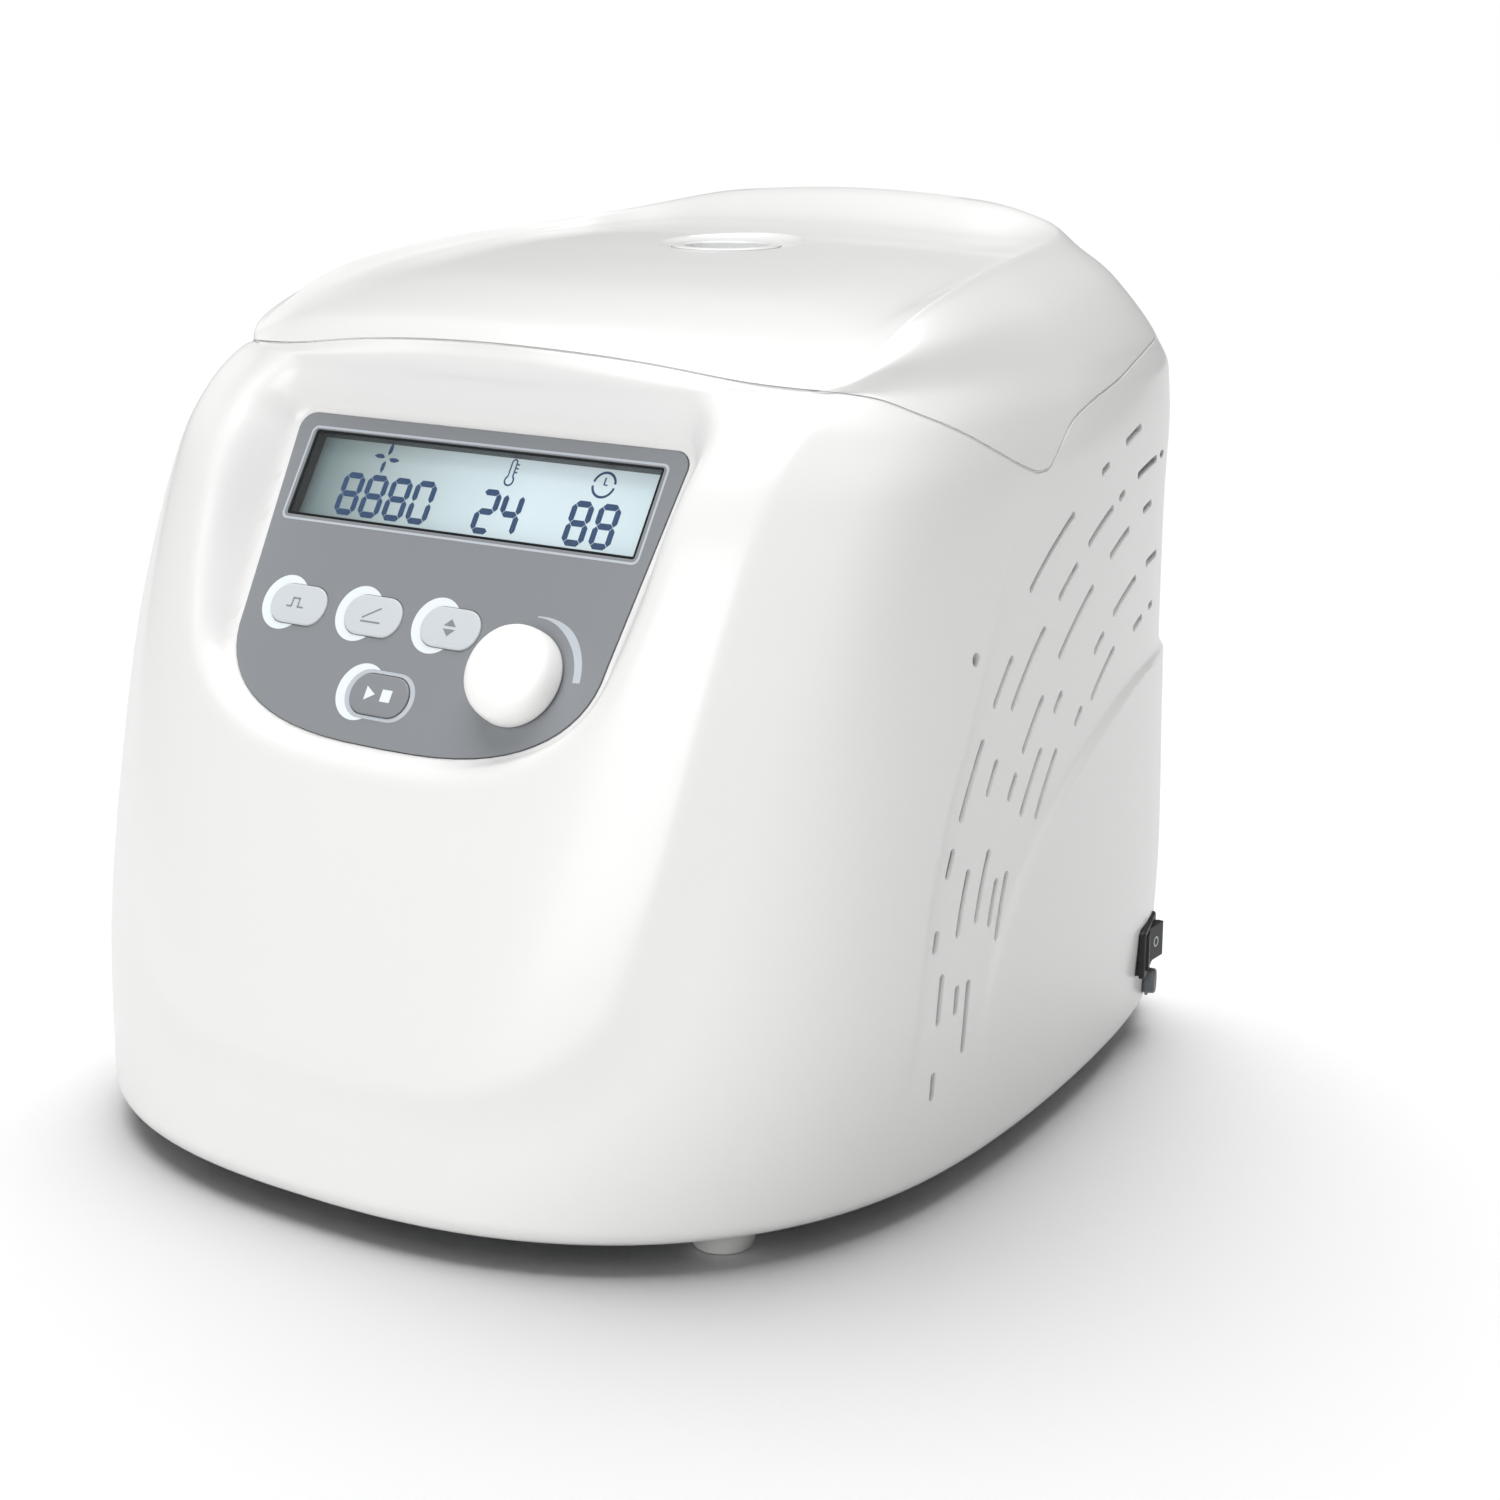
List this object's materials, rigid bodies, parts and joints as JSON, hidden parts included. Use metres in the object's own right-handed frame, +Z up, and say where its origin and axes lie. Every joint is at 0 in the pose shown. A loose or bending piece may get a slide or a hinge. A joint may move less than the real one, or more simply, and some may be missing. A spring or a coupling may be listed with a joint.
{
  "type": "high-speed bench centrifuge",
  "caption": "Compact bench centrifuge with a rounded moulded housing, rear-hinged lid with a sight port, leaning control panel, vented sides and an angle rotor in a round bowl.",
  "frame": {"origin": "on the bench, under the middle of the machine's outline", "axes": "+X to the user's right, +Y from the control panel to the back, +Z up"},
  "size_m": [0.286, 0.3099, 0.268],
  "materials": {
    "white": "satin",
    "steel": "satin",
    "foot": "matte",
    "black": "satin",
    "grey": "matte",
    "panel": "satin",
    "clear": "gloss",
    "display": "satin",
    "board": "matte",
    "bright": "polished",
    "rubber": "matte",
    "motor": "satin",
    "rotor": "satin",
    "key": "satin"
  },
  "bodies": {
    "housing": {"housing_shell": "white", "base_plate": "steel", "foot_front_left": "foot", "foot_front_right": "foot", "foot_rear_left": "foot", "foot_rear_right": "foot", "rear_plate": "steel", "power_inlet": "black", "fuse_holder": "grey", "switch_frame": "black", "panel_overlay": "panel", "display_window": "clear", "display_module": "display", "control_board": "board", "encoder": "grey", "rotor_bowl": "bright", "bowl_gasket": "rubber", "motor": "motor", "motor_mount": "steel", "motor_stand": "steel", "damper_1": "rubber", "damper_2": "rubber", "damper_3": "rubber", "hinge_base_left": "steel", "hinge_base_right": "steel", "hinge_pin_left": "bright", "hinge_pin_right": "bright", "lock_frame": "steel", "lock_solenoid": "black", "power_board": "board", "drive_board": "board"},
    "lid": {"lid_cover": "white", "lid_liner": "white", "window_ring": "white", "sight_window": "clear", "sight_tube": "grey", "lid_striker": "bright", "hinge_leaf_left": "steel", "hinge_leaf_right": "steel"},
    "rotor": {"motor_shaft": "bright", "rotor": "rotor", "rotor_lid": "bright", "rotor_nut": "black"},
    "knob": {"speed_knob": "white", "encoder_shaft": "bright"},
    "key_pulse": {"key_pulse": "key"},
    "key_lid": {"key_lid": "key"},
    "key_select": {"key_select": "key"},
    "key_start": {"key_start": "key"},
    "rocker": {"power_rocker": "black"},
    "bolt": {"lock_bolt": "bright"}
  },
  "joints": [
    {"name": "lid_hinge", "type": "hinge", "parent": "housing", "child": "lid", "pos_m": [0, 0.1486, 0.2276], "axis": [-1, 0, 0], "range_deg": [0, 75]},
    {"name": "rotor_spin", "type": "hinge", "parent": "housing", "child": "rotor", "pos_m": [0, 0.052, 0.15], "axis": [0, 0, 1], "continuous": true},
    {"name": "knob_turn", "type": "hinge", "parent": "housing", "child": "knob", "pos_m": [0.0402, -0.10225, 0.15007], "axis": [0, -0.848, 0.5299], "continuous": true},
    {"name": "key_pulse_press", "type": "slide", "parent": "housing", "child": "key_pulse", "axis": [0, 0.848, -0.5299], "range_m": [0, 0.0005], "stiffness_N_per_m": 900},
    {"name": "key_lid_press", "type": "slide", "parent": "housing", "child": "key_lid", "axis": [0, 0.848, -0.5299], "range_m": [0, 0.0005], "stiffness_N_per_m": 900},
    {"name": "key_select_press", "type": "slide", "parent": "housing", "child": "key_select", "axis": [0, 0.848, -0.5299], "range_m": [0, 0.0005], "stiffness_N_per_m": 900},
    {"name": "key_start_press", "type": "slide", "parent": "housing", "child": "key_start", "axis": [0, 0.848, -0.5299], "range_m": [0, 0.0005], "stiffness_N_per_m": 900},
    {"name": "rocker_tip", "type": "hinge", "parent": "housing", "child": "rocker", "pos_m": [0.12288, 0.113, 0.031], "axis": [0, 0, 1], "range_deg": [0, 12]},
    {"name": "bolt_slide", "type": "slide", "parent": "housing", "child": "bolt", "axis": [-1, 0, 0], "range_m": [0, 0.006]}
  ]
}
